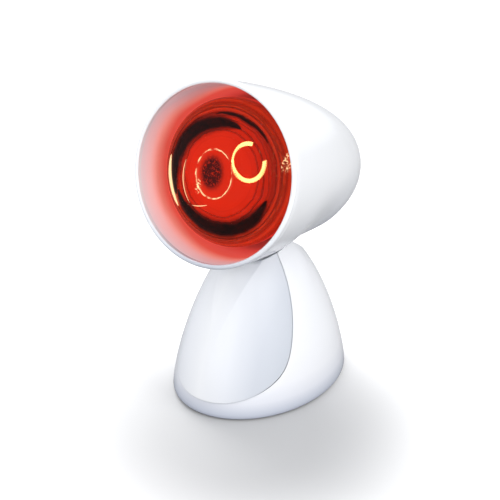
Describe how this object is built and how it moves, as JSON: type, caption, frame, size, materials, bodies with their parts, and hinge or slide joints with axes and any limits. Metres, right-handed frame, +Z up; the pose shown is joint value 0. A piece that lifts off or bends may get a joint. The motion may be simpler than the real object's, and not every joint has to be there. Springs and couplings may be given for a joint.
{
  "type": "infrared heat therapy lamp",
  "caption": "Table heat lamp: a red glass reflector bulb in a bell-shaped head that tilts in clicks on a smooth domed base with an egg-shaped front cover.",
  "frame": {"origin": "middle of the base's footprint, on the surface it stands on", "axes": "+Z up, -Y is the front where the light leaves, +X is to the right seen from the front"},
  "size_m": [0.1183, 0.1716, 0.2244],
  "materials": {
    "housing_white": "glossy moulded plastic",
    "hinge_white": "satin moulded plastic",
    "pad_black": "matte",
    "steel": "zinc plated",
    "ceramic": "glazed porcelain",
    "brass": "plain",
    "ruby_glass": "smooth red glass",
    "reflector": "aluminised inside",
    "clear_glass": "clear",
    "tungsten": "bare wire",
    "cap_metal": "bright",
    "black_glass": "smooth",
    "lead_sheath": "satin sheath",
    "block_plastic": "satin",
    "grey_plastic": "fine grained"
  },
  "bodies": {
    "base": {"base_shell": "housing_white", "front_cover": "housing_white", "bottom_plate": "housing_white", "anti_slip_pad": "pad_black", "plate_screws": "steel", "hinge_yoke": "hinge_white", "yoke_screws": "steel", "click_ball": "steel", "click_spring": "steel", "base_lead": "lead_sheath", "terminal_block": "block_plastic", "terminal_screws": "steel", "terminal_fixing_screw": "steel", "switch_body": "grey_plastic", "switch_tabs": "brass", "switch_leads": "lead_sheath", "cord_bush": "grey_plastic"},
    "head": {"tilt_screw": "steel", "spring_washer": "steel", "hinge_bush": "steel", "head_shell": "housing_white", "lampholder_body": "ceramic", "lampholder_sleeve": "brass", "lampholder_contact": "brass", "holder_strap": "steel", "holder_screws": "steel", "strap_screws": "steel", "bulb_lens": "ruby_glass", "bulb_reflector": "reflector", "bulb_stem": "clear_glass", "filament": "tungsten", "filament_supports": "steel", "bulb_cap": "cap_metal", "cap_insulator": "black_glass", "cap_contact": "cap_metal", "head_lead": "lead_sheath"},
    "rocker": {"switch_rocker": "grey_plastic"}
  },
  "joints": [
    {"name": "head_tilt", "type": "hinge", "parent": "base", "child": "head", "pos_m": [0, 0.006, 0.084], "axis": [-1, 0, 0], "range_deg": [-10, 30]},
    {"name": "switch_rocker", "type": "hinge", "parent": "base", "child": "rocker", "pos_m": [0, 0.06062, 0.03502], "axis": [1, 0, 0], "range_deg": [-18, 0]}
  ]
}
